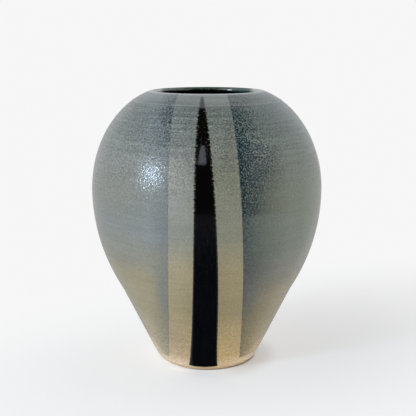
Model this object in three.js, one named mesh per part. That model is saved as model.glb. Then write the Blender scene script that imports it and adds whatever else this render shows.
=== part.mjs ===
// Stoneware vase: a thrown clay body and the coats of glaze fired onto it. Millimetres, standing on z = 0.
import * as THREE from 'three';
import { mergeVertices } from 'three/addons/utils/BufferGeometryUtils.js';

const radians = THREE.MathUtils.degToRad;

// Outline of the glazed outside, from the ground to the lip
const height = 290;
const footRadius = 53;
const wallSlope = radians(64.2);
const straightHeight = 80;
const flankEase = 8;
const flankFullness = 60;
const bellyRadius = 122;
const bellyHeight = 186;
const shoulderFullness = 49;
const shoulderEase = 38;
const lipSlope = radians(19.5);
const mouthRadius = 54.8;

// Clay
const wall = 6.8;
const floorThickness = 10;
const floorRound = 25;
const footBevel = 1.2;
const footRingWidth = 9;
const footRecess = 5;
const recessFlare = 3;

// Coats of glaze, how far each one stops short of the next one's edge, and the gap between fused faces
const baseCoat = 0.6;
const sprayCoat = 0.4;
const stripeCoat = 0.6;
const linerCoat = 0.8;
const bareFoot = 1.5;
const stripeMargin = 2.5;
const sprayMargin = 10;
const linerLap = radians(15);
const bondGap = 0.05;

// Masked panel on the front: a wedge left open between two strips of tape
const tapeWidth = 25;
const tipReach = 5;
const tipWidth = 0.8;
const stripeSwell = 21;
const swellReach = 80;
const stripeTaper = 0.019;
const panelShift = 1.2;
const panelBow = 4;
const bowReach = 180;

// Facets
const stripeColumns = 3;
const bandColumns = 3;
const sprayColumns = 32;
const columnCount = stripeColumns + 2 * bandColumns + sprayColumns;
const wallSteps = 3;
const flankSteps = 5;
const shoulderSteps = 7;
const lipSteps = 4;
const roundSteps = 3;

const baseDepth = sprayCoat + bondGap;
const outsideDepth = baseDepth + baseCoat + bondGap;
const insideDepth = linerCoat + bondGap;
const lipRound = wall / 2;
const lipCentre = new THREE.Vector2(mouthRadius + lipRound, height - lipRound);
const lipStartAngle = Math.PI / 2 - lipSlope;
const wallDirection = new THREE.Vector2(Math.cos(wallSlope), Math.sin(wallSlope));
const lipDirection = new THREE.Vector2(-Math.cos(lipSlope), Math.sin(lipSlope));
const upward = new THREE.Vector2(0, 1);

// A point a given distance from another one in a given direction, in the plane of radius and height
function along(start, direction, distance) {
  return start.clone().addScaledVector(direction, distance);
}

// Outside outline as one path: straight wall, flank up to the belly, shoulder up to the lip
function outsidePath() {
  const foot = new THREE.Vector2(footRadius, 0);
  const wallTop = along(foot, wallDirection, straightHeight / Math.sin(wallSlope));
  const belly = new THREE.Vector2(bellyRadius, bellyHeight);
  const lipStart = along(lipCentre, new THREE.Vector2(Math.sin(lipSlope), Math.cos(lipSlope)), lipRound);
  const flankLeave = along(wallTop, wallDirection, flankEase);
  const flankArrive = along(belly, upward, -flankFullness);
  const shoulderLeave = along(belly, upward, shoulderFullness);
  const shoulderArrive = along(lipStart, lipDirection, -shoulderEase);
  const path = new THREE.CurvePath();
  path.add(new THREE.LineCurve(foot, wallTop));
  path.add(new THREE.CubicBezierCurve(wallTop, flankLeave, flankArrive, belly));
  path.add(new THREE.CubicBezierCurve(belly, shoulderLeave, shoulderArrive, lipStart));
  return path;
}

const outline = outsidePath();
const outlineLength = outline.getLength();
const [wallLength, bellyDistance] = outline.getCurveLengths();

// Width of the black wedge at a distance down from the lip
function stripeWidth(reach) {
  const below = Math.max(reach - tipReach, 0);
  return tipWidth + stripeSwell * (1 - Math.exp(-below / swellReach)) + stripeTaper * below;
}

// Angles of all columns at one level: wedge, right band, sprayed coat round the back, left band
function columnAngles(reach, radius) {
  const bow = (reach - bowReach) / bowReach;
  const centre = -(panelShift + panelBow * bow * bow);
  const left = centre - stripeWidth(reach) / 2;
  const right = centre + stripeWidth(reach) / 2;
  const turn = 2 * Math.PI * radius;
  const edges = [left, right, right + tapeWidth, left - tapeWidth + turn, left + turn];
  const counts = [stripeColumns, bandColumns, sprayColumns, bandColumns];
  const angles = [];
  counts.forEach((count, side) => {
    for (let step = 0; step < count; step++) {
      angles.push(THREE.MathUtils.lerp(edges[side], edges[side + 1], step / count) / radius);
    }
  });
  return angles;
}

// A station: a point of the glazed surface, its direction into the air, the depths of the clay and of the
// base coat under it and the angles of its columns
function outsideStation(distance) {
  const part = distance / outlineLength;
  const point = outline.getPoint(part);
  const tangent = outline.getTangent(part);
  const normal = new THREE.Vector2(tangent.y, -tangent.x);
  const angles = columnAngles(outlineLength - distance, point.x);
  return { point, normal, clay: outsideDepth, base: baseDepth, angles };
}

function lipStation(angle, base, angles) {
  const normal = new THREE.Vector2(Math.cos(angle), Math.sin(angle));
  const clay = THREE.MathUtils.lerp(outsideDepth, insideDepth, (angle - lipStartAngle) / Math.PI);
  return { point: along(lipCentre, normal, lipRound), normal, clay, base, angles };
}

function insideStation(point, normal, angles) {
  return { point, normal, clay: insideDepth, base: 0, angles };
}

// Distances along a stretch of the outline, without its start
function distances(from, to, steps) {
  return Array.from({ length: steps }, (_, step) => THREE.MathUtils.lerp(from, to, (step + 1) / steps));
}

// Outside stations, upwards. The coats' lower edges and the tip of the wedge have stations of their own.
const glazeStart = (footBevel + bareFoot) / Math.sin(wallSlope);
const stripeStart = glazeStart + stripeMargin;
const sprayStart = glazeStart + sprayMargin;
const stripeTip = outlineLength - tipReach;
const marks = [glazeStart, stripeStart, sprayStart].sort((a, b) => a - b);
const outsideDistances = [
  ...marks,
  ...distances(marks.at(-1), wallLength, wallSteps),
  ...distances(wallLength, bellyDistance, flankSteps),
  ...distances(bellyDistance, stripeTip, shoulderSteps),
  outlineLength,
];
const outside = outsideDistances.map(outsideStation);
const lipStart = outside.at(-1);
const wallTop = outside[outsideDistances.indexOf(wallLength)];

// Lip stations, from its crest over to the inside
const baseEnd = Math.PI / 2 + linerLap;
const linerStart = baseEnd + bondGap / lipRound;
const crest = lipStation(Math.PI / 2, baseDepth, lipStart.angles);
const baseEdge = lipStation(baseEnd, 0, lipStart.angles);
const linerEdge = lipStation(linerStart, 0, lipStart.angles);
const lipAngles = distances(linerStart, lipStartAngle + Math.PI, lipSteps);
const innerLip = lipAngles.slice(0, -1).map((angle) => lipStation(angle, 0, lipStart.angles));

// Inside stations, downwards: behind the outside by one wall, then the straight wall, the round and the floor
function insideStations() {
  const floor = footRecess + floorThickness;
  const offset = ({ point, normal, angles }) => {
    return insideStation(along(point, normal, -wall), normal.clone().negate(), angles);
  };
  const curved = outside.slice(outside.indexOf(wallTop)).reverse().map(offset);
  const straightEnd = curved.at(-1);
  const inward = straightEnd.normal;
  const roundLift = floor + floorRound - (straightEnd.point.y + floorRound * inward.y);
  const roundStart = along(straightEnd.point, wallDirection, roundLift / Math.sin(wallSlope));
  const roundCentre = along(roundStart, inward, floorRound);
  const straight = distances(0, 1, wallSteps).map((part) => {
    return insideStation(straightEnd.point.clone().lerp(roundStart, part), inward, straightEnd.angles);
  });
  const round = distances(inward.angle(), Math.PI / 2, roundSteps).map((angle) => {
    const normal = new THREE.Vector2(Math.cos(angle), Math.sin(angle));
    return insideStation(along(roundCentre, normal, -floorRound), normal, straightEnd.angles);
  });
  const centre = insideStation(new THREE.Vector2(0, floor), upward, straightEnd.angles);
  return [...curved, ...straight, ...round, centre];
}

const inside = insideStations();

// One row of a profile: the point at a depth below a station
function row(station, depth) {
  const point = along(station.point, station.normal, -depth);
  return { r: point.x, z: point.y, angles: station.angles };
}

// Depth of the back of a coat that lies on the clay
function underside(station) {
  return station.clay - bondGap;
}

// Closed profile of a coat between two depths
function coatProfile(stations, overDepth, underDepth) {
  const over = stations.map((station) => row(station, overDepth(station)));
  const under = stations.map((station) => row(station, underDepth(station)));
  return [...over, ...under.reverse()];
}

// Profile of the clay: the foot's recess, ring and bevel, then the surface under the coats, back to the axis
function clayProfile() {
  const { angles } = outside[0];
  const clayRadius = footRadius - outsideDepth / Math.sin(wallSlope);
  const ringRadius = clayRadius - footBevel;
  const ringInner = ringRadius - footRingWidth;
  const foot = [
    { r: 0, z: footRecess, angles },
    { r: ringInner - recessFlare, z: footRecess, angles },
    { r: ringInner, z: 0, angles },
    { r: ringRadius, z: 0, angles },
    { r: clayRadius + footBevel / Math.tan(wallSlope), z: footBevel, angles },
  ];
  const surface = [...outside, crest, baseEdge, linerEdge, ...innerLip, ...inside];
  return [...foot, ...surface.map((station) => row(station, station.clay))];
}

// A closed solid: a closed profile carried round the axis over a run of columns, from the front (-Y)
// towards +X. Each quad is split from its lower row, so that the facets of neighbouring coats stay parallel.
function turnedSolid(profile, firstColumn = 0, steps = columnCount) {
  const allRound = steps === columnCount;
  const rings = allRound ? steps : steps + 1;
  const rows = profile.length;
  const positions = [];
  for (let ring = 0; ring < rings; ring++) {
    const column = firstColumn + ring;
    for (const { r, z, angles } of profile) {
      const angle = angles[column % columnCount];
      positions.push(r * Math.sin(angle), -r * Math.cos(angle), z);
    }
  }
  const triangles = [];
  for (let ring = 0; ring < steps; ring++) {
    const here = ring * rows;
    const next = ((ring + 1) % rings) * rows;
    for (let low = 0; low < rows; low++) {
      const high = (low + 1) % rows;
      const rise = profile[high].z - profile[low].z || profile[high].r - profile[low].r;
      if (rise > 0) {
        triangles.push([here + low, next + low, next + high], [here + low, next + high, here + high]);
      } else {
        triangles.push([here + low, next + low, here + high], [next + low, next + high, here + high]);
      }
    }
  }
  if (!allRound) {
    const last = steps * rows;
    for (let over = 0; over < rows / 2 - 1; over++) {
      const under = rows - 1 - over;
      triangles.push([over, over + 1, under - 1]);
      triangles.push([over, under - 1, under]);
      triangles.push([last + over, last + under - 1, last + over + 1]);
      triangles.push([last + over, last + under, last + under - 1]);
    }
  }
  const geometry = new THREE.BufferGeometry();
  geometry.setAttribute('position', new THREE.Float32BufferAttribute(positions, 3));
  geometry.setIndex(triangles.flat());
  return withoutSlivers(mergeVertices(geometry));
}

// Drops the triangles that have closed up on the axis
function withoutSlivers(geometry) {
  const corners = Array.from(geometry.index.array);
  const kept = [];
  for (let first = 0; first < corners.length; first += 3) {
    const [a, b, c] = corners.slice(first, first + 3);
    if (a !== b && b !== c && c !== a) {
      kept.push(a, b, c);
    }
  }
  geometry.setIndex(kept);
  geometry.computeVertexNormals();
  return geometry;
}

function piece(name, geometry, color, roughness) {
  const mesh = new THREE.Mesh(geometry, new THREE.MeshStandardMaterial({ color, roughness, metalness: 0 }));
  mesh.name = name;
  return mesh;
}

function clayBody() {
  return piece('clay_body', turnedSolid(clayProfile()), 0xc2a583, 0.9);
}

// Tan coat under the others, which shows on the two bands and along the foot
function baseGlaze() {
  const profile = coatProfile([...outside, crest, baseEdge], (station) => station.base, underside);
  return piece('base_glaze', turnedSolid(profile), 0x99937c, 0.5);
}

// Blue-grey coat sprayed round the masked panel
function sprayedGlaze() {
  const stations = [...outside.slice(outsideDistances.indexOf(sprayStart)), crest];
  const profile = coatProfile(stations, () => 0, () => sprayCoat);
  const firstColumn = stripeColumns + bandColumns;
  return piece('sprayed_glaze', turnedSolid(profile, firstColumn, sprayColumns), 0x7c8788, 0.45);
}

// Gloss black wedge between the bands
function blackStripe() {
  const first = outsideDistances.indexOf(stripeStart);
  const stations = outside.slice(first, outsideDistances.indexOf(stripeTip) + 1);
  const profile = coatProfile(stations, () => sprayCoat - stripeCoat, () => sprayCoat);
  return piece('black_stripe', turnedSolid(profile, 0, stripeColumns), 0x08090b, 0.08);
}

// Dark green liner from the lip down to the floor
function linerGlaze() {
  const profile = coatProfile([linerEdge, ...innerLip, ...inside], () => 0, underside);
  return piece('liner_glaze', turnedSolid(profile), 0x131d15, 0.08);
}

const outerCoats = new THREE.Group();
outerCoats.add(baseGlaze(), sprayedGlaze(), blackStripe());

const vase = new THREE.Group();
vase.add(clayBody(), outerCoats, linerGlaze());

export default vase;
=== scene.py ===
# %% [markdown]
# # A stoneware vase with a black stripe
# The vase is one thrown pot under four coats of glaze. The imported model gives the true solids, and this
# lesson lays a finer skin over each of them: turning marks, soft coat edges, specks and gloss.
# Everything is in metres, standing on z = 0, with the striped front towards -Y.

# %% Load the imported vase
import math
import bpy
import numpy as np
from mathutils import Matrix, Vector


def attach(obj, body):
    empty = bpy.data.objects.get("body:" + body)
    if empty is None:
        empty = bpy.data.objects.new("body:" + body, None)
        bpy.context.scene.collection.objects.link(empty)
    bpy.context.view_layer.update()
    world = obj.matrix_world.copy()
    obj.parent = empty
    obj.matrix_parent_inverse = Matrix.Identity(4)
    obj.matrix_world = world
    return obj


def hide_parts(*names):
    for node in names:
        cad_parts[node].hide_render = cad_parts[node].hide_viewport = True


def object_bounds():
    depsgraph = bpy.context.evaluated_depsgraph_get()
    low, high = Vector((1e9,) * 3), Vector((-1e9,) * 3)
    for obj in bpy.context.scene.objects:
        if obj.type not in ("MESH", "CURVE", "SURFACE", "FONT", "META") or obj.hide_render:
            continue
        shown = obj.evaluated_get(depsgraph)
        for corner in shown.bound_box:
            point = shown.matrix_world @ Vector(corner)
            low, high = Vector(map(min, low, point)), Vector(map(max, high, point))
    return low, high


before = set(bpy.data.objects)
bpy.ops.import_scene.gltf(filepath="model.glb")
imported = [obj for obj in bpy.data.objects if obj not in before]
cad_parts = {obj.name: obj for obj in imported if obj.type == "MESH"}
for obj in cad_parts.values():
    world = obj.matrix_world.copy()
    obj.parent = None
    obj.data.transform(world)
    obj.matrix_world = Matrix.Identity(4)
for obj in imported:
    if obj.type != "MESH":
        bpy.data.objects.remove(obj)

cad_low, cad_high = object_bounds()
print("packed vase:", sorted(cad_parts), "height", round(cad_high.z, 4))

# %% [markdown]
# ## Camera
# A camera could be placed by eye. This view was found by fitting the outline, the rim's ellipse and the
# foot's ellipse together: the lens looks a little down from about 0.9 m in front. The picture is square, so
# its width and the focal length in pixels give the angle of view.

# %% Camera
CAMERA_DISTANCE = 0.902
CAMERA_HEIGHT = 0.3476
CAMERA_PITCH = 0.201
PICTURE_SIZE = 416
FOCAL_LENGTH = 854
AXIS_OFFSET = 0.0029

lens = bpy.data.cameras.new("portrait_lens")
lens.angle = 2 * math.atan(PICTURE_SIZE / 2 / FOCAL_LENGTH)
lens.shift_x = AXIS_OFFSET
camera = bpy.data.objects.new("portrait_camera", lens)
camera.location = (0, -CAMERA_DISTANCE, CAMERA_HEIGHT)
camera.rotation_euler = (math.pi / 2 - CAMERA_PITCH, 0, 0)
bpy.context.scene.collection.objects.link(camera)
bpy.context.scene.camera = camera
print("camera: focal length", round(lens.lens, 1), "mm")

# %% [markdown]
# ## Outline
# A thrown pot is a surface of revolution, so one curve says nearly everything. It could be drawn by hand and
# spun with a modifier. Here it is worked out, so that every later step can ask for a point by the distance
# walked along the pot. It runs up a straight wall, through two Bezier curves that meet at the belly, and
# over the round lip to the inside.

# %% Outline of the glazed outside
HEIGHT = cad_high.z
FOOT_RADIUS = 0.053
WALL_SLOPE = math.radians(64.2)
STRAIGHT_HEIGHT = 0.080
FLANK_EASE = 0.008
FLANK_FULLNESS = 0.060
BELLY_RADIUS = 0.122
BELLY_HEIGHT = 0.186
SHOULDER_FULLNESS = 0.049
SHOULDER_EASE = 0.038
LIP_SLOPE = math.radians(19.5)
MOUTH_RADIUS = 0.0548
WALL = 0.0068
LIP_ROUND = WALL / 2

wall_way = np.array([math.cos(WALL_SLOPE), math.sin(WALL_SLOPE)])
lip_way = np.array([-math.cos(LIP_SLOPE), math.sin(LIP_SLOPE)])
lip_centre = np.array([MOUTH_RADIUS + LIP_ROUND, HEIGHT - LIP_ROUND])
lip_start_angle = math.pi / 2 - LIP_SLOPE
up = np.array([0.0, 1.0])


def bezier(start, leave, arrive, end, count=900):
    """Cubic Bezier curve: the four points weighted by the terms of (1 - t + t) cubed."""
    t = np.linspace(0, 1, count)[:, None]
    return (1 - t) ** 3 * start + 3 * (1 - t) ** 2 * t * leave + 3 * (1 - t) * t ** 2 * arrive + t ** 3 * end


def arc(centre, radius, first, last, count=200):
    """Circular arc: the centre plus the radius times the cosine and sine of the turning angle."""
    angle = np.linspace(first, last, count)[:, None]
    return centre + radius * np.hstack([np.cos(angle), np.sin(angle)])


def outline_polyline(wall_count=500):
    """Radius and height along the outside, from the ground over the lip to the inside."""
    foot = np.array([FOOT_RADIUS, 0.0])
    wall_top = foot + wall_way * STRAIGHT_HEIGHT / math.sin(WALL_SLOPE)
    belly = np.array([BELLY_RADIUS, BELLY_HEIGHT])
    lip = arc(lip_centre, LIP_ROUND, lip_start_angle, lip_start_angle + math.pi)
    wall = foot + np.linspace(0, 1, wall_count)[:, None] * (wall_top - foot)
    flank = bezier(wall_top, wall_top + wall_way * FLANK_EASE, belly - up * FLANK_FULLNESS, belly)
    shoulder = bezier(belly, belly + up * SHOULDER_FULLNESS, lip[0] - lip_way * SHOULDER_EASE, lip[0])
    walk = np.vstack([wall, flank[1:], shoulder[1:], lip[1:]])
    return walk, len(walk) - len(lip)


outline, lip_index = outline_polyline()
steps = np.hypot(*np.diff(outline, axis=0).T)
walked = np.concatenate([[0], np.cumsum(steps)])
tangent = np.gradient(outline, axis=0)
tangent /= np.hypot(*tangent.T)[:, None]
outward = np.stack([tangent[:, 1], -tangent[:, 0]], axis=1)
LIP_DISTANCE = walked[lip_index]
CREST_DISTANCE = LIP_DISTANCE + LIP_ROUND * LIP_SLOPE
print("outline: %.1f mm from the ground to the lip" % (1000 * LIP_DISTANCE))


def along(distance):
    """Radius, height and outward direction at distances walked along the outline."""
    pick = [np.interp(distance, walked, column) for column in (*outline.T, *outward.T)]
    return np.stack(pick[:2], axis=-1), np.stack(pick[2:], axis=-1)


def distance_at(height):
    """Distance walked up the outline to a height on the outside."""
    return float(np.interp(height, outline[:lip_index, 1], walked[:lip_index]))


# %% [markdown]
# ## Masked panel
# Before the blue-grey coat was sprayed, two strips of tape went down the front with a thin wedge between
# them. A mask could be painted into the colour, but here the coats really stop at these edges, so the edges
# are formulas. The wedge widens quickly below the lip and then slowly. Widths are measured along the clay,
# as tape lies.

# %% Masked panel on the front
TAPE_WIDTH = 0.025
TAPE_FLARE = 0.0026
FLARE_REACH = 0.055
TIP_REACH = 0.005
TIP_WIDTH = 0.0012
STRIPE_SWELL = 0.0235
SWELL_REACH = 0.084
STRIPE_TAPER = 0.0102
PANEL_SHIFT = 0.0012
LIP_BOW = 0.0035
FOOT_BOW = 0.0054
BOW_REACH = 0.190


def stripe_edges(distance):
    """Left and right edge of the wedge, in metres of arc from the front: plus and minus half a width that
    swells by a falling exponential and then tapers in a straight line, about a centre line that bows to the
    left, as half a cosine wave near the lip and as a parabola near the foot."""
    reach = LIP_DISTANCE - distance
    below = np.maximum(reach - TIP_REACH, 0)
    width = TIP_WIDTH + STRIPE_SWELL * (1 - np.exp(-below / SWELL_REACH)) + STRIPE_TAPER * below
    wave = 0.5 + 0.5 * np.cos(math.pi * np.minimum(reach / BOW_REACH, 1))
    parabola = np.maximum(reach / BOW_REACH - 1, 0) ** 2
    centre = -(PANEL_SHIFT + LIP_BOW * wave + FOOT_BOW * parabola)
    return centre - width / 2, centre + width / 2


def tape_width(distance):
    """Width of each strip of tape: it stretched a little towards the foot, by a falling exponential."""
    return TAPE_WIDTH + TAPE_FLARE * np.exp(-distance / FLARE_REACH)


stations = np.array([0.0, LIP_DISTANCE / 2, LIP_DISTANCE - TIP_REACH])
left, right = stripe_edges(stations)
print("wedge widths from foot to tip, mm:", np.round(1000 * (right - left), 1))
print("tape widths from foot to tip, mm:", np.round(1000 * tape_width(stations), 1))

# %% [markdown]
# ## Marks of the hand
# Fingers leave rings on the wall as it is pulled up, strongest on the shoulder, and a small ridge was left
# under the lip. A bump could fake them, but real relief also catches the light near the outline. A sum of
# sines of mixed wavelengths, with seeded phases, gives rings that never repeat. The same trick, run along an
# edge, gives an edge that wanders.

# %% Turning marks
RING_LENGTHS = (0.0021, 0.0026, 0.0031, 0.0036, 0.0043, 0.0054, 0.0083)
RING_HEIGHT = 0.000002
SHOULDER_RING_HEIGHT = 0.000060
SHOULDER_RING_DISTANCE = distance_at(0.268)
SHOULDER_RING_SPREAD = 0.020
RING_SWAY = 0.0008
SWAY_START = 2.0
RIDGE_LEVEL = 0.2802
RIDGE_DISTANCE = distance_at(RIDGE_LEVEL)
RIDGE_HEIGHT = 0.00045
RIDGE_WIDTH = 0.0009
phases = np.random.default_rng(7)
ring_phases = phases.uniform(0, 2 * math.pi, len(RING_LENGTHS))


def sum_of_sines(place, lengths, offsets):
    """Sum of sines of the place over each wavelength, each started at its own phase."""
    waves = [np.sin(2 * math.pi * place / length + offset) for length, offset in zip(lengths, offsets)]
    return np.sum(waves, axis=0)


def turning_marks(distance, angle):
    """Height of the rings and of the ridge over the plain outline. The rings sway a little round the pot, and
    their height swells on the shoulder as a bell curve. Both end at the crest of the lip."""
    swayed = distance + RING_SWAY * np.sin(angle + SWAY_START) * np.sin(2 * angle)
    bell = np.exp(-((distance - SHOULDER_RING_DISTANCE) / SHOULDER_RING_SPREAD) ** 2)
    height = RING_HEIGHT + SHOULDER_RING_HEIGHT * bell
    ridge = RIDGE_HEIGHT * np.exp(-((swayed - RIDGE_DISTANCE) / RIDGE_WIDTH) ** 2)
    before_crest = np.clip((CREST_DISTANCE - distance) / LIP_ROUND, 0, 1)
    return before_crest * (height * sum_of_sines(swayed, RING_LENGTHS, ring_phases) + ridge)


around = np.linspace(0, 2 * math.pi, 200)
sample = turning_marks(np.linspace(0.2, LIP_DISTANCE, 800)[:, None], around[None, :])
print("turning marks: %.3f mm deep at most" % (1000 * np.ptp(sample)))

# %% [markdown]
# ## From grid to mesh
# A coat of glaze is a thin shell. A Solidify modifier could give it thickness, but a coat that thins to an
# edge needs its own two sides. So each coat is a grid: rows walk along the profile, columns go round the
# axis. Rows run up the air side and come back down the clay side, so joining the last row to the first
# closes the shell. A coat that stops at an edge gets a wall there, and a profile that starts and ends on the
# axis gets one point at each pole.

# %% Shells from grids of points
def spin(profile, angle):
    """Points of a turned surface: radius times the sine and minus the cosine of the angle, and the height."""
    radius, height = profile[..., 0], profile[..., 1]
    return np.stack([radius * np.sin(angle), -radius * np.cos(angle), height + 0 * angle], axis=-1)


def grid_quads(ids):
    """Corner numbers of the quads between neighbouring rows and columns of a grid of point numbers."""
    return np.stack([ids[:-1, :-1], ids[:-1, 1:], ids[1:, 1:], ids[1:, :-1]], axis=-1).reshape(-1, 4)


def closed(ids, axis):
    """The same grid with its first row or column repeated at the end."""
    return np.concatenate([ids, ids.take([0], axis=axis)], axis=axis)


def make_piece(name, points, faces, **attributes):
    """A smooth-shaded mesh object from points, faces and one value per point for each named attribute."""
    mesh = bpy.data.meshes.new(name)
    mesh.from_pydata(points.reshape(-1, 3), [], faces)
    mesh.polygons.foreach_set("use_smooth", np.ones(len(mesh.polygons), bool))
    for key, values in attributes.items():
        layer = mesh.attributes.new(key, "FLOAT", "POINT")
        layer.data.foreach_set("value", np.asarray(values, np.float32).ravel())
    piece = bpy.data.objects.new(name, mesh)
    bpy.context.scene.collection.objects.link(piece)
    triangles = sum(len(face) - 2 for face in faces)
    print(name, "has", triangles, "triangles")
    return piece


def coat_faces(rows, columns, all_round):
    """Quads of a coat whose rows go up the air side and down the clay side, with end walls at its edges."""
    ids = np.arange(rows * columns).reshape(rows, columns)
    loop = closed(ids, 0)
    if all_round:
        return grid_quads(closed(loop, 1)).tolist()
    first = np.stack([ids[: rows // 2, 0], ids[: rows // 2 - 1 : -1, 0]], axis=1)
    last = np.stack([ids[: rows // 2 - 1 : -1, -1], ids[: rows // 2, -1]], axis=1)
    return np.vstack([grid_quads(loop), grid_quads(first), grid_quads(last)]).tolist()


def turned_piece(name, profile, columns):
    """A closed turned body from a profile that starts and ends on the axis: rings, and a fan at each pole."""
    angle = np.linspace(0, 2 * math.pi, columns, endpoint=False)
    rings = profile[1:-1]
    points = spin(rings[:, None, :], angle[None, :]).reshape(-1, 3)
    poles = [[0, 0, profile[0, 1]], [0, 0, profile[-1, 1]]]
    ids = closed(np.arange(len(points)).reshape(len(rings), columns), 1)
    bottom = np.stack([ids[0, 1:], ids[0, :-1], np.full(columns, len(points))], axis=1)
    top = np.stack([ids[-1, :-1], ids[-1, 1:], np.full(columns, len(points) + 1)], axis=1)
    faces = grid_quads(ids).tolist() + bottom.tolist() + top.tolist()
    return make_piece(name, np.vstack([points, poles]), faces)


print("a closed coat of 4 rows and 3 columns has", len(coat_faces(4, 3, True)), "quads")

# %% [markdown]
# ## Clay
# The clay shows only at the foot: a bevelled ring to stand on, a bare strip above it and a shallow recess.
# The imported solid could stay, but its ring has sharp edges. The new profile rounds them, and the rest, which
# lies under the coats, is the outline moved inwards by the thickness of glaze.

# %% Clay body
BASE_COAT = 0.0006
SPRAY_COAT = 0.0004
LINER_COAT = 0.0008
BOND_GAP = 0.00005
FLOOR_THICKNESS = 0.010
FLOOR_ROUND = 0.025
FOOT_BEVEL = 0.0012
FOOT_RING_WIDTH = 0.009
FOOT_RECESS = 0.005
RECESS_FLARE = 0.003
FOOT_SOFTNESS = 0.0006
RECESS_TURN = 0.5
BEVEL_TURN = 0.3
BARE_FOOT = 0.0015
LINER_LAP = math.radians(15)
INSIDE_ROWS = 180
ROUND_ROWS = 24
FLOOR_ROWS = 14
LIP_ROWS = 24
RECESS_ROWS = 16
RING_ROWS = 8
BEVEL_ROWS = 10
CLAY_ROWS = 300
CLAY_COLUMNS = 120
BASE_DEPTH = SPRAY_COAT + BOND_GAP
CLAY_DEPTH = BASE_DEPTH + BASE_COAT + BOND_GAP
LINER_DEPTH = LINER_COAT + BOND_GAP
FLOOR_HEIGHT = FOOT_RECESS + FLOOR_THICKNESS
GLAZE_START = (FOOT_BEVEL + BARE_FOOT) / math.sin(WALL_SLOPE)
base_end = CREST_DISTANCE + LIP_ROUND * LINER_LAP
liner_start = base_end + BOND_GAP
inside_end = walked[-1]


def inside_profile(depth):
    """Inner side from below the lip to the axis, a depth behind the liner's face: the outline moved in by one
    wall, the floor's round as an arc, and the flat floor."""
    inward = np.array([-math.sin(WALL_SLOPE), math.cos(WALL_SLOPE)])
    round_top = FLOOR_HEIGHT + FLOOR_ROUND * (1 - math.cos(WALL_SLOPE))
    round_distance = distance_at(round_top - WALL * math.cos(WALL_SLOPE))
    point, normal = along(np.linspace(LIP_DISTANCE, round_distance, INSIDE_ROWS))
    wall = point - normal * (WALL - depth)
    centre = wall[-1] + inward * (FLOOR_ROUND + depth)
    turn = math.atan2(-inward[1], -inward[0])
    floor_round = arc(centre, FLOOR_ROUND + depth, turn, -math.pi / 2, ROUND_ROWS)
    flat_radius = floor_round[-1, 0] * np.linspace(1, 0, FLOOR_ROWS)
    flat = np.stack([flat_radius, np.full(FLOOR_ROWS, floor_round[-1, 1])], axis=1)
    return np.vstack([wall, floor_round[1:], flat[1:]])


def lip_profile(first, last, first_depth, last_depth):
    """Part of the lip below the glazed surface, with a depth that changes evenly from end to end."""
    point, normal = along(np.linspace(first, last, LIP_ROWS))
    return point - normal * np.linspace(first_depth, last_depth, LIP_ROWS)[:, None]


def foot_profile():
    """Recess, ring and bevel of the foot, from the axis outwards, with small arcs at the ring's edges."""
    clay_radius = FOOT_RADIUS - CLAY_DEPTH / math.sin(WALL_SLOPE)
    outer = clay_radius - FOOT_BEVEL
    inner = outer - FOOT_RING_WIDTH
    soft = FOOT_SOFTNESS
    down = 1.5 * math.pi
    recess_radius = (inner - RECESS_FLARE) * np.linspace(0, 1, RECESS_ROWS)
    recess = np.stack([recess_radius, np.full(RECESS_ROWS, FOOT_RECESS)], axis=1)
    inner_edge = arc(np.array([inner + soft, soft]), soft, math.pi + RECESS_TURN, down, RING_ROWS)
    ring_radius = np.linspace(inner + soft, outer - soft, RING_ROWS)[1:-1]
    ring = np.stack([ring_radius, 0 * ring_radius], axis=1)
    bevel_centre = np.array([outer - soft, FOOT_BEVEL])
    bevel = arc(bevel_centre, FOOT_BEVEL, down, 2 * math.pi - BEVEL_TURN, BEVEL_ROWS)
    return np.vstack([recess, inner_edge, ring, bevel])


outside_point, outside_normal = along(np.linspace(GLAZE_START - BARE_FOOT, LIP_DISTANCE, CLAY_ROWS))
clay_profile = np.vstack([
    foot_profile(),
    outside_point - outside_normal * CLAY_DEPTH,
    lip_profile(LIP_DISTANCE, inside_end, CLAY_DEPTH, LINER_DEPTH)[1:-1],
    inside_profile(LINER_DEPTH),
])
clay = turned_piece("clay_shell", clay_profile, CLAY_COLUMNS)

# %% [markdown]
# ## Tan base coat
# The base coat covers the whole outside and turns over the lip. It is the coat that the two pale bands and
# the strip along the foot show. It could be a copy of the clay made fatter, but a grid of its own lets its
# face keep the turning marks, because glaze follows the clay under it.

# %% Base coat
BASE_ROWS = 500
BASE_BACK_ROWS = 60
BASE_COLUMNS = 160
FOOT_EDGE_THINNING = 0.4 * BASE_COAT
FOOT_EDGE_REACH = 0.0008


def coat_rows(over_distance, under_distance, angle, over_depth, under_depth, marks=1.0):
    """Points of a coat: its face at a depth below the glazed surface, raised by a share of the turning marks,
    then its back at another depth, walked the other way."""
    point, normal = along(over_distance)
    face_depth = over_depth - marks * turning_marks(over_distance[:, None], angle(over_distance))
    face = point[:, None, :] - normal[:, None, :] * face_depth[..., None]
    back_point, back_normal = along(under_distance)
    back = (back_point - back_normal * under_depth[:, None])[:, None, :]
    return np.concatenate([spin(face, angle(over_distance)), spin(back, angle(under_distance))])


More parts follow.
